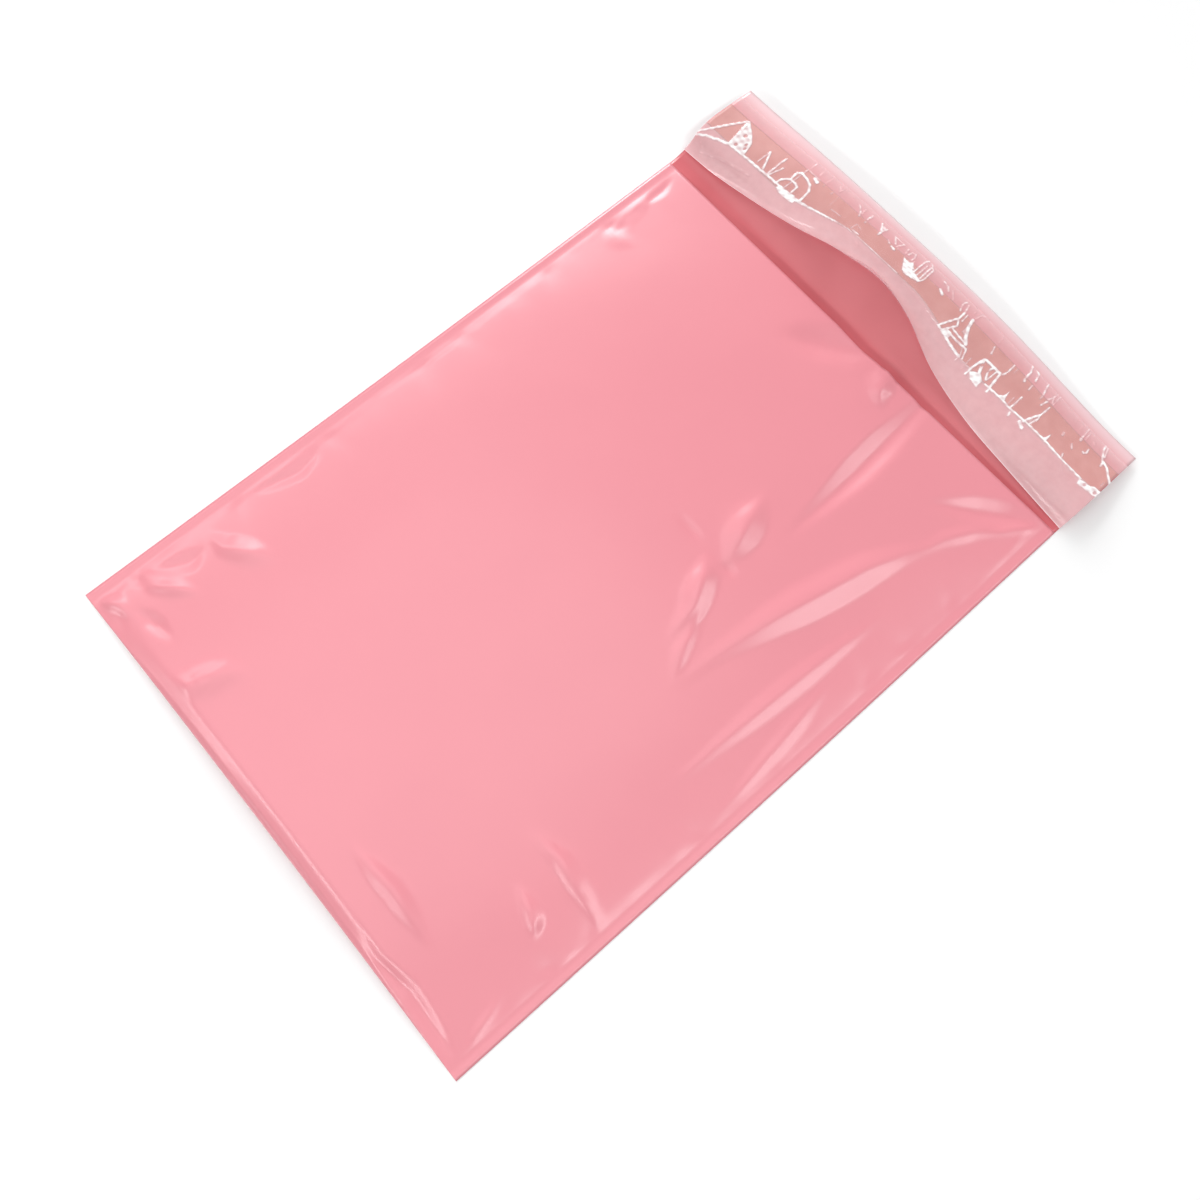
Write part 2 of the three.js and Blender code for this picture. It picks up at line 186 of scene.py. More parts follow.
# Folds that the film took in the packet. Each is a sharp line with a flat facet beside it: its
# points, the facet's width, how fully it leans to the lamp that it catches, from 0 to 1, and on
# which side of the line it lies, seen along the points (1 is left, -1 is right)
film_folds = [
    ([(154.5, 325), (157.5, 283), (159.5, 255), (161, 215)], 7.0, 0.9, -1),
    ([(136, 312), (138, 298), (141, 292), (147, 287)], 6.0, 0.9, 1),
    ([(134, 307), (120, 299), (104, 287), (92, 277)], 9.0, 0.3, -1),
    ([(226, 303.5), (212, 296), (200, 286), (184, 271)], 6.0, 0.9, -1),
    ([(225, 303), (219, 296), (212, 282)], 3.0, 0.5, 1),
    ([(219, 293), (208, 280), (202, 268), (198, 252)], 4.0, 0.9, 1),
    ([(203, 268), (196, 251), (191, 236), (186, 213), (182, 196), (178, 173), (174, 135)], 8.0, 0.85, 1),
    ([(208.5, 232), (206, 206), (204.5, 182), (203, 150), (202.5, 112)], 5.0, 0.9, 1),
    ([(213, 196), (217, 168), (223, 120)], 4.0, 0.9, 1),
    ([(142, 228), (148, 210), (154, 194)], 8.0, 0.85, 1),
    ([(144, 193), (151, 186), (158, 174), (162, 155)], 6.5, 0.85, 1),
    ([(160, 178), (167, 160), (175, 148)], 4.0, 0.5, 1),
    ([(126, 194.6), (141, 194.6)], 1.3, 0.7, 1),
    ([(151, 194.6), (160, 194.6)], 1.3, 0.7, 1),
    ([(224.5, 303), (227, 284), (226, 252)], 2.4, 0.9, 1),
    ([(221, 300), (223, 284), (224.5, 262)], 2.0, 0.6, 1),
    ([(2.5, 293), (6, 283), (9.5, 271), (9, 258)], 4.5, 0.9, -1),
    ([(5, 287), (8.5, 279), (10.5, 268), (11, 262)], 3.5, 0.9, 1),
    ([(6, 302), (9, 292), (9, 280)], 3.0, 0.5, 1),
    ([(6, 260.5), (14, 261.5), (24, 264)], 6.0, 0.8, 1),
    ([(5, 200), (6.5, 170), (5, 112)], 2.4, 0.8, 1),
    ([(5, 104), (10.5, 101), (12.5, 93), (9, 80), (4.5, 69)], 4.0, 0.9, 1),
    ([(4.5, 96), (6.5, 84), (5, 70)], 2.2, 0.9, -1),
    ([(7, 49), (20, 53), (30, 60), (38, 67)], 6.0, 0.9, 1),
    ([(15, 47), (16, 38), (9, 26)], 5.0, 0.8, 1),
    ([(3, 17), (16, 25), (32, 36)], 5.0, 0.9, 1),
    ([(3, 16), (10, 20), (24, 33)], 3.0, 0.6, -1),
    ([(3, 17), (5, 12), (7, 3)], 3.0, 0.7, 1),
    ([(3, 2), (12, 8), (22, 10)], 4.0, 0.9, 1),
    ([(12, 11), (17, 5), (26, 4)], 3.0, 0.7, 1),
    ([(17, 12), (39, 17)], 4.0, 0.5, 1),
    ([(50, 7), (58, 12), (62, 24), (70, 34)], 6.0, 0.8, 1),
    ([(165, 8), (180, 3.5), (196, 6.5), (214, 5), (227, 3)], 4.0, 0.9, 1),
    ([(140, 21), (166, 23), (191, 21)], 5.0, 0.6, -1),
    ([(178, 72), (196, 74.5), (210, 73), (232, 69)], 4.5, 0.9, -1),
    ([(191, 58), (205, 55), (212, 50)], 4.0, 0.7, 1),
    ([(224, 232), (225.5, 212)], 3.0, 0.8, 1),
    ([(225, 64), (224, 50)], 3.0, 0.8, 1),
    ([(217, 32), (222, 16), (227, 5)], 3.0, 0.9, 1),
]

# A facet leans towards one part of a strip box: the part that lies most nearly in the facet's way,
# where a steeper lean counts against it by this share
lamp_parts = 7
steepness_cost = 0.4

# The highest rise of a fold, the share of the lean that the least full one takes, how far its ends
# taper, its facet's width at the ends, and how far the film falls back behind the line
greatest_fold = 2.2
least_lean = 0.7
fold_taper = 0.45
facet_end_share = 0.35
least_back = 3.0
back_to_facet = 1.2

# Places along each weld where the film is pinched into it, as distances from the bottom fold
left_pinches = [262, 229, 180, 162, 110, 68, 18]
right_pinches = [251, 228, 205, 120, 66, 48]
pinch_depth = 0.55
pinch_half_width = 3.2
pinch_reach = 7
pinch_slant = 0.35

# Small waves beside the welds: the length of each divided by 2 pi, its phase and its share of the
# height
weld_wave_height = 0.07
weld_waves = [(2.9, 1.3, 1), (4.3, 0, 1), (1.7, 0.4, 0.7)]

# Slack of the panel: heights of its broad swell and its finer ripple, and their lengths, again
# divided by 2 pi
swell_height = 0.16
ripple_height = 0.05
swell_across, swell_along, swell_slanting, ripple_length = 23, 31, 19, 9

# The folds fade out towards the welds and the bottom fold over these
weld_margin = 5
bottom_margin_share = 0.012


def mix(a, b, share):
    return a + (b - a) * share


def ease(share):
    t = np.clip(share, 0, 1)
    return t * t * (3 - 2 * t)


def along_points(points, x, y):
    """Signed distance of each place from a line of points, and its share of the way along."""
    best = np.full(x.shape, 1e9)
    side = np.zeros(x.shape)
    share = np.zeros(x.shape)
    pieces = len(points) - 1
    for k in range(pieces):
        (ax, ay), (bx, by) = points[k], points[k + 1]
        run = (bx - ax, by - ay)
        t = np.clip(((x - ax) * run[0] + (y - ay) * run[1]) / (run[0] ** 2 + run[1] ** 2), 0, 1)
        dx, dy = x - ax - run[0] * t, y - ay - run[1] * t
        distance = np.hypot(dx, dy)
        nearer = distance < best
        best = np.where(nearer, distance, best)
        side = np.where(nearer, np.sign(run[0] * dy - run[1] * dx), side)
        share = np.where(nearer, (k + t) / pieces, share)
    return best * side, share


def lean_to_lamp(x, y, way):
    """How steeply a facet that can only lean this way must lean to catch a strip box's light.

    In the right half the panel's own slope does part of it. In the left half it is left out, so
    those folds come out steeper, which shows them better.
    """
    spot = Vector((left_seam + x, fold_line + y, crown_height)) * MM
    to_camera = (Vector(camera_place_mm) * MM - spot).normalized()
    panel_lean = np.array((2 * crown_height * max(x - half_width, 0) / pocket_half ** 2, 0))
    leans = []
    for name, lamp_place, _, length, _, _ in lamps:
        if not name.startswith("strip"):
            continue
        run = Vector((length, 0, 0)) if name == "strip_box_front" else Vector((0, length, 0))
        for k in range(lamp_parts):
            part = lamp_place + run * (k / (lamp_parts - 1) - 0.5)
            halfway = to_camera + (part - spot).normalized()
            lean = np.array((halfway.x, halfway.y)) / halfway.z - panel_lean
            along, off = np.dot(lean, way), abs(lean[0] * way[1] - lean[1] * way[0])
            leans.append((off + steepness_cost * abs(along), along))
    return min(leans)[1]


def fold_relief(x, y):
    """Height that the sharp folds add to the front panel."""
    relief = np.zeros(x.shape)
    for points, width, strength, side in film_folds:
        run = np.subtract(points[-1], points[0])
        facet_way = np.array((-run[1], run[0])) * side / np.hypot(*run)
        steepness = mix(least_lean, 1, strength) * lean_to_lamp(*np.mean(points, axis=0), facet_way)
        rise = np.clip(steepness * width, -greatest_fold, greatest_fold)
        distance, share = along_points(points, x, y)
        lens = ease(share / fold_taper) * ease((1 - share) / fold_taper)
        facet = width * mix(facet_end_share, 1.0, lens)
        back = np.maximum(least_back, back_to_facet * facet)
        across = distance * side
        slope_down = np.clip(1 - across / facet, 0, 1)
        drop_down = ease(1 + across / back)
        relief += rise * lens * np.where(across > 0, slope_down, drop_down)
    return relief


def pinch_relief(x, y):
    """Short valleys that run in from the welds, and the small waves between them."""
    relief = np.zeros(x.shape)
    sides = [(x - weld_width, left_pinches), (bag_width - weld_width - x, right_pinches)]
    for from_weld, pinches in sides:
        near = np.exp(-np.clip(from_weld, 0, None) / pinch_reach)
        for k, place in enumerate(pinches):
            slant = pinch_slant * from_weld * (-1) ** k
            relief -= pinch_depth * near * np.exp(-(((y - place - slant) / pinch_half_width) ** 2))
        waves = sum(share * np.sin(y / length + phase) for length, phase, share in weld_waves)
        relief += weld_wave_height * near * waves
    return relief


def slack_relief(x, y):
    """Broad, shallow undulation of the slack film."""
    swell = np.sin(x / swell_across + 0.7) * np.sin(y / swell_along + 1.1)
    swell = swell + 0.6 * np.sin((x + 0.8 * y) / swell_slanting)
    return swell_height * swell + ripple_height * np.sin((x - 0.6 * y) / ripple_length + 2.0)


def fullness(x):
    """Share of the full height: a short steep rise beside the weld, then a long gentle one."""
    from_middle = np.clip(np.abs(x - half_width) / pocket_half, 0, 1)
    return mix(1 - from_middle ** 2, 1 - from_middle ** steep_power, steep_share)


def crown(y):
    from_fold = mix(fold_height, crown_height, ease(y / nose_reach))
    return mix(mouth_height, from_fold, ease((bag_length - y) / crown_reach))


def front_panel(x, share):
    """The front panel's outer face, at a share of the way from the fold's shoulder to the mouth."""
    full = fullness(x)
    radius = mix(2 * film_gauge, fold_height, full) / 2
    start = fold_set_back * full + radius
    end = bag_length - mouth_set_back * full
    y = mix(start, end, share)
    height = mix(2 * film_gauge, crown(np.where(share > 0, y, 0)), full)
    relief = fold_relief(x, y) + pinch_relief(x, y) + slack_relief(x, y)
    away = ease((x - weld_width) / weld_margin) * ease((bag_width - weld_width - x) / weld_margin)
    away = away * ease(share / bottom_margin_share)
    bowed = x + sideways_bow * np.sin(np.pi * share)
    return bowed, y, np.maximum(height + relief * away, 2 * film_gauge)


def flap_slope(share, distance):
    left = np.interp(distance, flap_stations, flap_slopes_left)
    middle = np.interp(distance, flap_stations, flap_slopes_middle)
    right = np.interp(distance, flap_stations, flap_slopes_right)
    leftward = mix(left, middle, ease(share / middle_share))
    rightward = mix(middle, right, ease((share - middle_share) / (1 - middle_share)))
    return np.radians(np.where(share < middle_share, leftward, rightward))


def flap_face(x, distance):
    """Y and Z of the flap's under face, and its slope, by walking up from the mouth line."""
    share = x / bag_width
    step = distance / flap_steps
    y = np.full(x.shape, bag_length)
    z = np.zeros(x.shape)
    for k in range(flap_steps):
        slope = flap_slope(share, step * (k + 0.5))
        y = y + step * np.cos(slope)
        z = z + step * np.sin(slope)
    return y, z, flap_slope(share, distance)


def place_grid(obj, place):
    """Moves each vertex of a unit grid to the place that its two shares give, in millimetres."""
    count = len(obj.data.vertices)
    flat = np.zeros(count * 3)
    obj.data.vertices.foreach_get("co", flat)
    flat = flat.reshape(-1, 3)
    x, y, z = place(flat[:, 0] + 0.5, flat[:, 1] + 0.5)
    placed = np.stack([left_seam + x, fold_line + y, z], axis=1) * MM
    obj.data.vertices.foreach_set("co", placed.ravel())
    obj.data.update()


def grid_piece(name, columns, rows, place):
    """A grid primitive of unit size, placed as a sheet."""
    bpy.ops.object.select_all(action="DESELECT")
    bpy.ops.mesh.primitive_grid_add(x_subdivisions=columns, y_subdivisions=rows, size=1)
    obj = bpy.context.object
    obj.name = name
    place_grid(obj, place)
    return obj


def finish_sheet(obj, thickness, offset):
    """Gives a sheet its gauge and smooths it. Its other face takes its second material, if any."""
    solid = obj.modifiers.new("gauge", "SOLIDIFY")
    solid.thickness = thickness * MM
    solid.offset = offset
    solid.material_offset = 1
    bpy.ops.object.modifier_apply(modifier="gauge")
    bpy.ops.object.shade_smooth()


# The web is divided most finely where the folds are: along the welds, in the right half, and near
# the mouth and the bottom fold
column_ends = [0, 3, 29, 63, 147, 150]
column_places = [0, weld_width, 30, 140, bag_width - weld_width, bag_width]
front_row_ends = [0, 28, 138, 206]
front_row_shares = [1, 0.885, 0.23, 0]
front_rows, nose_rows, back_rows, flap_rows = front_row_ends[-1], 12, 36, 40
row_ends = np.cumsum([0, front_rows, nose_rows, back_rows, flap_rows])
web_columns = column_ends[-1]


def web_place(across, along):
    x = np.interp(across * web_columns, column_ends, column_places)
    row = along * row_ends[-1]

    front_share = np.interp(row, front_row_ends, front_row_shares)
    front_x, front_y, front_z = front_panel(x, front_share)

    full = fullness(x)
    radius = mix(2 * film_gauge, fold_height, full) / 2
    turn = np.pi * np.clip((row - row_ends[1]) / nose_rows, 0, 1)
    nose_y = fold_set_back * full + radius - radius * np.sin(turn)
    nose_z = radius + radius * np.cos(turn)

    back_share = np.clip((row - row_ends[2]) / back_rows, 0, 1)
    back_start = fold_set_back * full + radius
    back_y = mix(back_start, bag_length, back_share)
    back_x = x + sideways_bow * np.sin(np.pi * back_share)

    distance = np.clip((row - row_ends[3]) / flap_rows, 0, 1) * flap_length
    flap_y, flap_z, _ = flap_face(x, distance)

    on_front = row < row_ends[1]
    on_nose = (row >= row_ends[1]) & (row < row_ends[2])
    on_back = (row >= row_ends[2]) & (row < row_ends[3])
    choices = [on_front, on_nose, on_back]
    return (
        np.select(choices, [front_x, x, back_x], x),
        np.select(choices, [front_y, nose_y, back_y], flap_y),
        np.select(choices, [front_z, nose_z, np.zeros(x.shape)], flap_z),
    )


# Towards its end the flap is one layer of film over white paper, and light from below makes it pale.
# That paleness is painted light, put into the inner face's colour between these distances.
pale_from = 36.5
pale_to = 49.5


def web_share(flap_distance):
    """Where a place on the flap lies along the web's own map, from 0 to 1."""
    return (row_ends[3] + flap_rows * flap_distance / flap_length) / row_ends[-1]


def film_material(name, colour, deep_colour, pale_colour=None):
    """Satin blown polyethylene: an even colour with faint clouds, soft gloss and a fine skin. On the
    inner face the colour is darker and the clouds much stronger, partly its own tone and partly painted
    shade and sheen.
    """
    material, output = new_material(name)
    place = add_node(material, "ShaderNodeTexCoord").outputs["Object"]
    cloud_size_mm = 40
    clouds = add_node(material, "ShaderNodeTexNoise", {},
                      {"Vector": place, "Scale": 1 / (cloud_size_mm * MM), "Detail": 2.0})
    colours = add_node(material, "ShaderNodeMix", {"data_type": "RGBA"})
    join(material, clouds.outputs["Fac"], colours.inputs[0])
    colours.inputs[6].default_value = linear(deep_colour)
    colours.inputs[7].default_value = linear(colour)
    # The pale colour is painted light: it stands for light from the paper shining through the flap's end.
    if pale_colour:
        along = add_node(material, "ShaderNodeUVMap", {"uv_map": "UVMap"}).outputs["UV"]
        along = add_node(material, "ShaderNodeSeparateXYZ", {}, {"Vector": along}).outputs["Y"]
        fade = add_node(material, "ShaderNodeMapRange", {"interpolation_type": "SMOOTHSTEP"},
                        {"Value": along, "From Min": web_share(pale_from),
                         "From Max": web_share(pale_to)})
        ends = add_node(material, "ShaderNodeMix", {"data_type": "RGBA"})
        join(material, fade.outputs["Result"], ends.inputs[0])
        join(material, colours.outputs[2], ends.inputs[6])
        ends.inputs[7].default_value = linear(pale_colour)
        colours = ends
    grain_size_mm = 1.2
    grain = add_node(material, "ShaderNodeTexNoise", {},
                     {"Vector": place, "Scale": 1 / (grain_size_mm * MM), "Detail": 3.0})
    ripple_size_mm = 8.0
    ripple = add_node(material, "ShaderNodeTexNoise", {},
                      {"Vector": place, "Scale": 1 / (ripple_size_mm * MM), "Detail": 2.0})
    skin = add_node(material, "ShaderNodeBump", {},
                    {"Height": grain.outputs["Fac"], "Strength": 0.12, "Distance": 0.02 * MM})
    waves = add_node(material, "ShaderNodeBump", {},
                     {"Height": ripple.outputs["Fac"], "Strength": 0.25,
                      "Distance": 0.3 * MM, "Normal": skin.outputs["Normal"]})
    gloss = add_node(material, "ShaderNodeMapRange", {},
                     {"Value": grain.outputs["Fac"], "To Min": 0.26, "To Max": 0.34})
    shader = add_node(material, "ShaderNodeBsdfPrincipled", {},
                      {"Base Color": colours.outputs[2], "Roughness": gloss.outputs["Result"],
                       "IOR": 1.5, "Normal": waves.outputs["Normal"],
                       "Coat Weight": 0.7, "Coat Roughness": 0.24})
    join(material, shader.outputs["BSDF"], output.inputs["Surface"])
    return material


bag = grid_piece("bag_film_web", web_columns, row_ends[-1], web_place)
outer_film = film_material("satin_pink_polyethylene", "#EA929C", "#E68E99")
# The inner face's darker colour and its deep and light clouds are partly the film's own tone, partly
# painted shade inside the mouth and painted sheen on the flap's root.
inner_film = film_material("inner_face_of_pink_polyethylene_with_painted_shade", "#E67880", "#C24E56", "#EFCACE")
bag.data.materials.append(outer_film)
bag.data.materials.append(inner_film)
bpy.ops.object.mode_set(mode="EDIT")
bpy.ops.mesh.select_all(action="SELECT")
bpy.ops.mesh.flip_normals()
bpy.ops.object.mode_set(mode="OBJECT")
finish_sheet(bag, film_gauge, -1)
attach(bag, "root")
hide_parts("bag_film")


# Hot-melt strip
# A band of tacky, translucent amber glue, 15 mm wide, laid across the inner face of the flap. In
# the middle its lower edge has come away with the liner, so there it starts further up.
glue_gauge = 0.12
glue_gap = 0.02
glue_inset = 0.4
glue_columns, glue_rows = 220, 16
peel_depth = 7.5
peel_middle = 101.0
peel_flat_half = 16.0
peel_run_out = 42.0


def held_from(x):
    """Where the liner starts to stick to the glue, as a distance along the flap."""
    beyond = np.clip(np.abs(x - peel_middle) - peel_flat_half, 0, None)
    return glue_lower + peel_depth * (1 - ease(beyond / peel_run_out))


def glue_place(across, along):
    x = mix(glue_inset, bag_width - glue_inset, across)
    distance = mix(held_from(x), glue_upper, along)
    y, z, slope = flap_face(x, distance)
    lift = film_gauge + glue_gap
    return x, y - lift * np.sin(slope), z + lift * np.cos(slope)


glue = grid_piece("hot_melt_strip", glue_columns, glue_rows, glue_place)
hot_melt, hot_melt_output = new_material("amber_hot_melt_glue")
melt_place = add_node(hot_melt, "ShaderNodeTexCoord").outputs["Object"]
melt_cloud_mm = 7
melt_clouds = add_node(hot_melt, "ShaderNodeTexNoise", {},
                       {"Vector": melt_place, "Scale": 1 / (melt_cloud_mm * MM), "Detail": 3.0})
melt_colours = add_node(hot_melt, "ShaderNodeMix", {"data_type": "RGBA"})
join(hot_melt, melt_clouds.outputs["Fac"], melt_colours.inputs[0])
melt_colours.inputs[6].default_value = linear("#C6807A")
melt_colours.inputs[7].default_value = linear("#DA9E97")
melt_skin = add_node(hot_melt, "ShaderNodeBump", {},
                     {"Height": melt_clouds.outputs["Fac"], "Strength": 0.3, "Distance": 0.1 * MM})
melt_shader = add_node(hot_melt, "ShaderNodeBsdfPrincipled", {},
                       {"Base Color": melt_colours.outputs[2], "Roughness": 0.4,
                        "Normal": melt_skin.outputs["Normal"]})
join(hot_melt, melt_shader.outputs["BSDF"], hot_melt_output.inputs["Surface"])
glue.data.materials.append(hot_melt)
finish_sheet(glue, glue_gauge, 1)
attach(glue, "root")
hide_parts("adhesive_strip")


# Release liner
# Clear siliconised film, 40 micrometres thick, that covers the glue. Where it sticks it looks
# clear, where it has let go air behind it makes it milky, and its sharp creases and crushed patches
# are white, partly the film's own whitening and partly painted highlight for the lamps' glints.
liner_upper = 44.0
liner_lower = 6.0
liner_gap = 0.12
liner_lift = film_gauge + glue_gauge + liner_gap

# Free edge: share of the width from the left, distance past the mouth, height
free_edge = [
    (0, 7.8, 3.0), (0.067, 7.8, 4.4), (0.177, 8.9, 8.5), (0.29, 10.7, 14), (0.382, 12.0, 21),
    (0.478, 12.9, 25.8), (0.545, 13.0, 19.5), (0.65, 8.0, 10.8), (0.745, 5.4, 6.2),
    (0.87, 3.8, 3.4), (1, 2.1, 1.8),
]
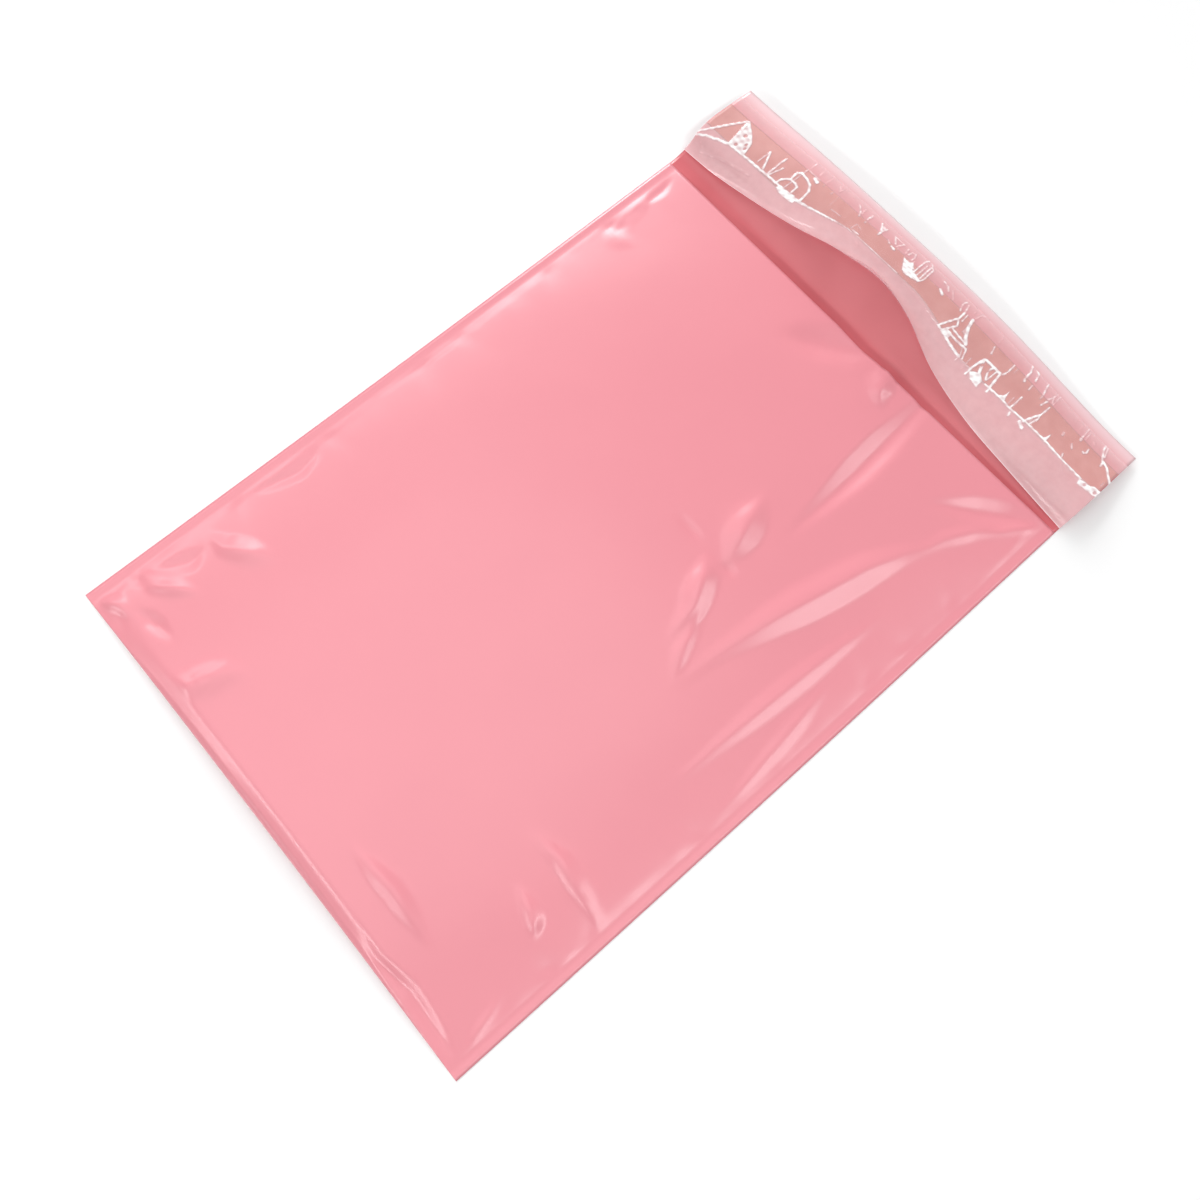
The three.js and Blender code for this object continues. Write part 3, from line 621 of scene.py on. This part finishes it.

# White creases, read off the photo as if they lay on the table: distance from the left edge and
# share of the way from the line where the liner lets go (0) to the glue's upper edge (1), then
# half their width and how white they are
# Their white is partly the film's own whitening and partly painted highlight, standing for the lamps'
# glints on the crinkled film.
white_and_glinting_creases = [
    ([(-3.5, -0.45), (0, -0.27), (5, -0.12), (10, 0)], 0.65, 0.95),
    ([(10, 0), (18, 0.04), (25, 0.06), (35, 0.09), (41, 0.1), (54, 0.03)], 0.5, 0.95),
    ([(50, 0.02), (55, 0.01), (62, 0), (70, 0)], 0.6, 0.9),
    ([(70, 0), (80, 0.03), (96, 0.06), (105, 0.04)], 0.32, 0.75),
    ([(105, 0.0), (116, -0.09), (125, -0.12)], 0.3, 0.5),
    ([(125, -0.12), (130, -0.1), (134, -0.03)], 0.35, 0.8),
    ([(134, -0.02), (150, 0)], 0.6, 0.95),
    ([(150, 0), (157, 0.02)], 0.3, 0.6),
    ([(166, 0), (175, 0.03), (180, 0), (190, 0.05), (200, 0.05), (210, 0), (220, -0.02)], 0.45, 0.95),
    ([(-4, -0.32), (2, 0.35), (6.9, 0.92)], 0.55, 0.85),
    ([(7.2, 0.92), (9.75, 0.05)], 0.65, 0.9),
    ([(7.5, 0.9), (13, 0.62), (16, 0.42), (17.8, 0.08)], 0.75, 0.9),
    ([(25, 0.66), (25, 0.2)], 0.35, 0.7),
    ([(25.2, 0.64), (29.3, 0.14)], 0.5, 0.9),
    ([(32.5, 0.8), (32.2, 0.58), (32.5, 0.1)], 0.5, 0.75),
    ([(35, 0.53), (33, 0.12)], 0.45, 0.8),
    ([(38.2, 0.08), (38.5, 0.27), (41, 0.43), (44, 0.43), (46, 0.36), (46.2, 0.15)], 0.5, 0.85),
    ([(41.2, 0.43), (40.7, 0.7), (42.2, 0.79), (46, 0.74), (49, 0.64), (51, 0.45), (51.7, 0.08)],
     0.55, 0.9),
    ([(42.7, 1.0), (42.5, 0.43), (42.2, 0.05)], 0.4, 0.6),
    ([(43.5, 1.0), (50, 0.97)], 0.35, 0.7),
    ([(48.3, 0.9), (50, 0.86)], 0.8, 0.9),
    ([(43.5, 1.38), (43.5, 1.1)], 0.5, 0.35),
    ([(48.5, 1.38), (48.5, 1.12)], 0.5, 0.35),
    ([(53.5, 1.38), (53.2, 0.9)], 0.5, 0.35),
    ([(58.7, 1.4), (60, 1.15), (60.3, 1.4)], 0.4, 0.5),
    ([(58.2, 0.92), (58.2, 0.86)], 0.6, 0.35),
    ([(61.7, 1.4), (61.8, 0.5)], 0.45, 0.25),
    ([(64, 0.36), (69, 0.33)], 0.35, 0.5),
    ([(66, 1.45), (69, 1.42)], 0.6, 0.35),
    ([(70.5, 1.4), (73, 1.17), (74.2, 0.9)], 0.45, 0.75),
    ([(73.8, 1.48), (74.3, 1.1)], 0.4, 0.6),
    ([(78.2, 1.5), (77.9, 1.08)], 0.5, 0.75),
    ([(78.2, 0.9), (78.2, 0.85)], 0.6, 0.45),
    ([(76.2, 0.12), (76.5, 0.5), (79.5, 0.42)], 0.35, 0.5),
    ([(77.5, 0.12), (80.5, 0.13)], 0.5, 0.8),
    ([(81, 0.0), (84, -0.28), (85, -0.4)], 0.35, 0.5),
    ([(81, -0.35), (82, -0.55), (84.5, -0.5)], 0.35, 0.45),
    ([(83.6, 1.52), (85.8, 1.1)], 0.5, 0.95),
    ([(87.2, 1.45), (86.2, 1.1), (86.3, 0.85)], 0.5, 0.85),
    ([(91.2, 1.0), (92.5, 0.9)], 0.45, 0.75),
    ([(92, 1.45), (94.5, 1.12)], 0.5, 0.85),
    ([(92.7, 1.47), (97.5, 1.48), (95.6, 1.05)], 0.42, 0.8),
    ([(94.3, 0.86), (95.8, 0.82)], 0.8, 0.9),
    ([(96.5, 1.1), (97, 0.95)], 0.4, 0.5),
    ([(100.2, 1.45), (100.4, 1.1)], 0.5, 0.65),
    ([(102, 1.15), (102.3, 1.45), (104, 1.5), (104.9, 1.25), (104.6, 1.05)], 0.42, 0.75),
    ([(106, 1.1), (106, 0.85)], 0.4, 0.7),
    ([(109.2, 0.6), (109.2, 1.55), (110.7, 1.93), (114.4, 1.5), (114.7, 0.7), (113.5, 0.42)], 0.42, 0.85),
    ([(111.2, 0.6), (111.2, 1.45)], 0.45, 0.75),
    ([(112.9, 1.55), (113.2, 0.6)], 0.45, 0.85),
    ([(121.3, 1.45), (124, 1.38), (125.5, 1.2)], 0.6, 0.75),
    ([(126.5, 1.38), (129.7, 1.03)], 0.4, 0.6),
    ([(122.8, 0.98), (124.8, 0.86)], 0.8, 0.95),
    ([(134.5, 1.38), (134, 1.2), (134.8, 1.0), (135.4, 0.92)], 0.42, 0.75),
    ([(136, 1.33), (137.1, 1.04)], 0.42, 0.75),
    ([(137.3, 1.0), (137.5, 0.7), (135.3, 0.3), (134, 0)], 0.5, 0.95),
    ([(138.9, 1.0), (139.3, 0.72)], 0.38, 0.8),
    ([(137.5, 0.7), (139.5, 0.5), (138, 0.27), (136.5, 0.03)], 0.5, 0.9),
    ([(142, 1.0), (143, 0.75), (145.6, 0.48), (147.8, 0.36)], 0.8, 0.9),
    ([(139, 0.33), (144, 0.35), (147.8, 0.37)], 0.45, 0.9),
    ([(138, 0.17), (143, 0.2), (149.5, 0.28)], 0.5, 0.85),
    ([(149.5, 0.3), (151.5, 0.04)], 0.4, 0.85),
    ([(147.6, 0.25), (150, 0.05)], 0.35, 0.6),
    ([(142.2, 1.12), (143, 1.35), (145, 1.47), (146.6, 1.47)], 0.45, 0.65),
    ([(140, 1.35), (140.3, 1.15)], 0.35, 0.45),
    ([(150, 0), (150, -0.14)], 0.35, 0.8),
    ([(153.8, 0.22), (154.5, -0.2)], 0.4, 0.5),
    ([(156.6, 0.92), (157.8, 0.72)], 0.42, 0.75),
    ([(156, 1.35), (156.5, 1.1)], 0.4, 0.45),
    ([(157.2, -0.18), (157, 0.08), (157.7, 0.45), (159, 0.49), (166.7, 0.5), (167.7, 0.17),
      (168.7, -0.12)], 0.55, 0.95),
    ([(158, 0.43), (161, 0.07)], 0.7, 0.9),
    ([(163, 0.46), (162.5, 0.3), (164.6, 0.1)], 0.5, 0.9),
    ([(165.2, 0.45), (164.9, 0.1)], 0.4, 0.85),
    ([(168, 0.98), (168.3, 0.7), (167.7, 0.52)], 0.4, 0.85),
    ([(170.2, 0.95), (170.3, 0.8)], 0.35, 0.4),
    ([(173.2, 1.42), (174.7, 1.2), (175, 0.98)], 0.5, 0.85),
    ([(175.1, 0.92), (175.6, 0.87)], 0.6, 0.75),
    ([(175.5, 1.43), (177.7, 1.36), (178.6, 1.13)], 0.5, 0.85),
    ([(179.2, 0.95), (179.5, 0.78)], 0.4, 0.7),
    ([(180, 0.47), (180, 0.03)], 0.4, 0.85),
    ([(178, 0.3), (178.1, 0.08)], 0.35, 0.45),
    ([(181.3, -0.08), (181.8, -0.17)], 0.55, 0.85),
    ([(183.2, 1.42), (184, 1.2), (185, 1.02)], 0.45, 0.8),
    ([(185.2, 0.97), (185.4, 0.86)], 0.38, 0.6),
    ([(189, 1.42), (188.7, 1.2), (187.7, 1.02)], 0.45, 0.65),
    ([(190.5, 1.4), (190.7, 1.03)], 0.38, 0.65),
    ([(188.7, 1.22), (190.1, 1.04)], 0.4, 0.7),
    ([(188.3, 0.96), (187.5, 0.74)], 0.45, 0.85),
    ([(190.7, 0.87), (190.5, 0.47), (191, 0.38), (190, 0.06)], 0.42, 0.9),
    ([(190.2, 0.48), (188.7, 0.22), (187.7, 0)], 0.5, 0.9),
    ([(186.8, -0.08), (189.3, -0.15)], 0.75, 0.9),
    ([(202.2, 0.66), (202.5, 0.58)], 0.6, 0.5),
    ([(202, 1.32), (202.1, 1.22)], 0.45, 0.4),
    ([(205.4, 1.32), (205.6, 1.15)], 0.4, 0.4),
    ([(207.5, 0.6), (209, 0.48)], 0.45, 0.65),
    ([(208, 1.35), (208.5, 1.02)], 0.4, 0.75),
    ([(209.5, 1.33), (210, 1.05)], 0.35, 0.65),
    ([(208.7, 0.94), (208.9, 0.9)], 0.65, 0.75),
    ([(208, 0.16), (208.8, 0.05)], 0.4, 0.7),
    ([(213.7, 0.88), (214.2, 0.73), (213.5, 0.65), (212.8, 0.68)], 0.42, 0.8),
    ([(211.3, 1.33), (214, 1.1)], 0.6, 0.4),
    ([(217.5, 1.38), (217.8, 1.25), (220, 1.0), (221.5, 0.87), (221.8, 0.76)], 0.5, 0.85),
    ([(218.6, 1.38), (220.4, 1.06)], 0.35, 0.8),
    ([(221.5, 0.93), (224, 0.86), (226.5, 0.7), (229.8, 0.5)], 0.55, 0.95),
    ([(227.5, 0.4), (227.6, 0.28)], 0.4, 0.4),
    ([(210.5, -0.06), (212, -0.18), (215, -0.26), (220, -0.24)], 0.45, 0.45),
    ([(3.5, 1.52), (7, 1.65)], 0.9, 0.3),
    ([(1.3, -0.5), (5.9, -0.8), (14, -0.5), (28, -0.27)], 0.7, 0.5),
]

# Patches of crushed film that are white all over, partly their own whitening and partly painted
# highlight, in the same measures
white_and_glinting_patches = [
    ([(8, 0.9), (9.75, 0.02), (17.7, 0.02), (17, 0.28), (13, 0.65)], 0.8),
    ([(40, 0.13), (48.5, 0.12), (50.5, 0), (50.5, -0.14), (43, -0.08), (40, 0)], 0.95),
    ([(83.7, 1.52), (85, 1.35), (86, 1.1), (87.3, 1.3), (87, 1.45)], 0.7),
    ([(101.2, 0.93), (105, 0.33), (107, 0.25), (110, 0.3), (114, 0.45), (114, 0.56), (110, 0.67),
      (107.5, 0.87), (106, 1.05), (105, 0.92), (103, 0.88)], 0.97),
    ([(121.5, 1.42), (124, 1.4), (129, 1.05), (126, 1.0)], 0.25),
    ([(136, 0.02), (138, 0.22), (141, 0.18), (141, 0.02)], 0.85),
    ([(142, 0.98), (143.3, 0.75), (145.8, 0.48), (142.6, 0.5)], 0.5),
    ([(157.3, -0.04), (161, 0.14), (164, 0.02), (164.6, -0.25), (160, -0.2)], 0.95),
    ([(172.4, 0.02), (174.3, 0.13), (175, 0.34), (175.8, 0.13), (176.7, 0.02)], 0.95),
    ([(197.7, 0.03), (198.7, 0.2), (199.3, 0.34), (199.9, 0.1), (199.8, 0)], 0.95),
    ([(187.9, 0.02), (190, 0.35), (190.2, 0.02)], 0.5),
    ([(219.5, -0.04), (225, 0.02), (226, 0.1), (230.5, 0.12), (230.5, -0.13), (220.5, -0.2)], 0.9),
]

# Small clear windows left inside the patches: place and radius
clear_windows = [
    (11.7, 0.5, 0.8), (12.1, 0.12, 0.65), (15.3, 0.32, 0.6), (16.4, 0.2, 0.6),
    (108.5, 0.72, 0.5), (112, 0.72, 0.5), (159, 0.32, 0.7), (162, 0.3, 0.9), (166, 0.3, 0.6),
    (228, -0.05, 0.7), (223, -0.08, 0.5),
]

# What is left of the whiteness in a window, how soft every mark's edge is, and the length that a
# share of 1 counts as
window_whiteness = 0.25
crease_edge = 0.3
share_scale = 13.0

# The creases wander a little from their points, and are whiter in some stretches than in others
wander_reach = 0.06
even_whiteness = 0.95
patchiness = 0.2

# How milky the film is where it sticks, where it hangs loose and past the glue, how much its free
# rim adds, and over what distance one passes into the next
milky_held = 0.12
milky_loose = 0.48
milky_past_glue = 0.36
milky_rim = 0.35
let_go_band = 0.7
past_glue_band = 0.6
rim_band = 0.5


def inside_outline(points, x, y):
    """Distance of each place from a closed outline, positive inside."""
    nearest = np.full(x.shape, 1e9)
    inside = np.zeros(x.shape, bool)
    for k, (ax, ay) in enumerate(points):
        bx, by = points[(k + 1) % len(points)]
        distance, _ = along_points([(ax, ay), (bx, by)], x, y)
        nearest = np.minimum(nearest, np.abs(distance))
        rise = by - ay if by != ay else 1e-9
        crosses = (ay > y) != (by > y)
        inside ^= crosses & (x < ax + (y - ay) * (bx - ax) / rise)
    return np.where(inside, nearest, -nearest)


def whiteness_and_painted_glints(x, distance, height):
    """How white the creases and patches are at each place of the liner: partly the film's own whitening,
    partly painted highlight.
    """
    foot = camera_place_mm[0] - left_seam
    seen_x = foot + (x - foot) * camera_place_mm[2] / (camera_place_mm[2] - height)
    held = held_from(x)
    seen_y = share_scale * (distance - held) / (glue_upper - held)
    wander = wander_reach * np.sin(2.1 * seen_x + 1.3 * seen_y)
    seen_x, seen_y = seen_x + wander, seen_y - wander
    uneven = patchiness * np.sin(1.1 * seen_x + 0.8 * seen_y) * np.sin(0.7 * seen_x - 1.9 * seen_y)
    white = np.zeros(x.shape)
    for points, half, strength in white_and_glinting_creases:
        line = [(px, share * share_scale) for px, share in points]
        away, _ = along_points(line, seen_x, seen_y)
        edge = ease((half + crease_edge - np.abs(away)) / (2 * crease_edge))
        white = np.maximum(white, strength * edge)
    for points, strength in white_and_glinting_patches:
        outline = [(px, share * share_scale) for px, share in points]
        depth = inside_outline(outline, seen_x, seen_y)
        white = np.maximum(white, strength * ease((depth + crease_edge) / (2 * crease_edge)))
    for px, share, radius in clear_windows:
        away = np.hypot(seen_x - px, seen_y - share * share_scale)
        outside = ease((away - radius + crease_edge) / (2 * crease_edge))
        white = white * mix(window_whiteness, 1.0, outside)
    return white * (even_whiteness + uneven)


def smooth_curve(stations, values, at):
    """A smooth curve through values at rising stations."""
    stations, values = np.array(stations, float), np.array(values, float)
    slopes = np.gradient(values, stations)
    k = np.clip(np.searchsorted(stations, at, side="right") - 1, 0, len(stations) - 2)
    span = stations[k + 1] - stations[k]
    t = np.clip((at - stations[k]) / span, 0, 1)
    start = values[k] * (1 + 2 * t) * (1 - t) ** 2 + slopes[k] * span * t * (1 - t) ** 2
    end = values[k + 1] * t * t * (3 - 2 * t) + slopes[k + 1] * span * t * t * (t - 1)
    return start + end


# How high a crease stands, how the free part bends away from the flap, and its flutter: height,
# where it runs in from the left end, over what length, and its two wave lengths divided by 2 pi
crease_height = 0.25
bend_power = 1.6
flutter_height = 0.35
flutter_from = 8
flutter_run_in = 30
short_flutter, long_flutter = 5.1, 8.7


def liner_place(across, along):
    x = mix(0.0, bag_width, across)
    distance = mix(liner_lower, liner_upper, along)
    y, z, slope = flap_face(x, distance)
    lift = liner_lift + crease_height * whiteness_and_painted_glints(x, distance, z)
    y, z = y - lift * np.sin(slope), z + lift * np.cos(slope)
    peel_line = held_from(x)
    free = np.clip((peel_line - distance) / (peel_line - liner_lower), 0, 1)
    edge_y, edge_z, _ = flap_face(x, np.full(x.shape, liner_lower))
    shares = [place[0] for place in free_edge]
    reach = smooth_curve(shares, [place[1] for place in free_edge], across)
    height = smooth_curve(shares, [place[2] for place in free_edge], across)
    bend = free ** bend_power
    flutter = np.sin(x / short_flutter) + np.sin(x / long_flutter + 1.0)
    y = y + (bag_length + reach - edge_y) * bend
    z = z + (height - edge_z - liner_lift) * bend
    run_in = ease((x - flutter_from) / flutter_run_in)
    z = z + flutter_height * flutter * free * (1 - free) * run_in
    return x, y, z


liner_columns, liner_rows = 640, 104
liner = grid_piece("release_liner_strip", liner_columns, liner_rows, liner_place)
liner_u = np.tile(np.linspace(0, 1, liner_columns + 1), liner_rows + 1)
liner_v = np.repeat(np.linspace(0, 1, liner_rows + 1), liner_columns + 1)
liner_x = liner_u * bag_width
liner_s = mix(liner_lower, liner_upper, liner_v)
_, liner_z, _ = flap_face(liner_x, liner_s)
loose = ease((held_from(liner_x) + let_go_band - liner_s) / let_go_band)
past_glue = ease((liner_s - glue_upper + past_glue_band) / past_glue_band)
milky = milky_held + (milky_loose - milky_held) * loose + (milky_past_glue - milky_held) * past_glue
free_rim = milky_rim * ease((liner_lower + rim_band - liner_s) / rim_band)
# The white creases and patches, partly painted highlight, raise the milkiness to white.
milky = np.maximum(milky + free_rim, whiteness_and_painted_glints(liner_x, liner_s, liner_z))
milkiness_and_glints = liner.data.attributes.new("milkiness_and_glints", "FLOAT", "POINT")
milkiness_and_glints.data.foreach_set("value", np.clip(milky, 0, 1))

clear_film, clear_output = new_material("clear_siliconised_film")
clear_place = add_node(clear_film, "ShaderNodeTexCoord").outputs["Object"]
haze_size_mm = 4
haze = add_node(clear_film, "ShaderNodeTexNoise", {},
                {"Vector": clear_place, "Scale": 1 / (haze_size_mm * MM), "Detail": 3.0})
clear_skin = add_node(clear_film, "ShaderNodeBump", {},
                      {"Height": haze.outputs["Fac"], "Strength": 0.3, "Distance": 0.25 * MM})
milk_source = add_node(clear_film, "ShaderNodeAttribute", {"attribute_name": "milkiness_and_glints"})
whitening_and_glint_share = add_node(clear_film, "ShaderNodeMapRange", {},
                    {"Value": milk_source.outputs["Fac"], "From Min": 0.55, "From Max": 0.85})
# Where the liner is milky but not white, its pink tint is painted light: it stands for the pink glow of
# the film behind it shining through.
milk_and_pink_glow_colours = add_node(clear_film, "ShaderNodeMix", {"data_type": "RGBA"})
join(clear_film, whitening_and_glint_share.outputs["Result"], milk_and_pink_glow_colours.inputs[0])
milk_and_pink_glow_colours.inputs[6].default_value = linear("#FFE2E5")
milk_and_pink_glow_colours.inputs[7].default_value = linear("#FFFCFC")
clear_shader = add_node(clear_film, "ShaderNodeBsdfPrincipled", {},
                        {"Base Color": milk_and_pink_glow_colours.outputs[2], "Roughness": 0.09, "IOR": 1.5,
                         "Normal": clear_skin.outputs["Normal"]})
see_through = add_node(clear_film, "ShaderNodeBsdfTransparent", {}, {"Color": (1, 1, 1, 1)})
patchy = add_node(clear_film, "ShaderNodeMapRange", {},
                  {"Value": haze.outputs["Fac"], "To Min": 0.9, "To Max": 1.15})
milk = add_node(clear_film, "ShaderNodeMath", {"operation": "MULTIPLY", "use_clamp": True})
join(clear_film, milk_source.outputs["Fac"], milk.inputs[0])
join(clear_film, patchy.outputs["Result"], milk.inputs[1])
clear_mix = add_node(clear_film, "ShaderNodeMixShader", {}, {"Fac": milk.outputs["Value"]})
join(clear_film, see_through.outputs["BSDF"], clear_mix.inputs[1])
join(clear_film, clear_shader.outputs["BSDF"], clear_mix.inputs[2])
join(clear_film, clear_mix.outputs["Shader"], clear_output.inputs["Surface"])
liner.data.materials.append(clear_film)
bpy.ops.object.shade_smooth()
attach(liner, "root")
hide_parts("release_liner")
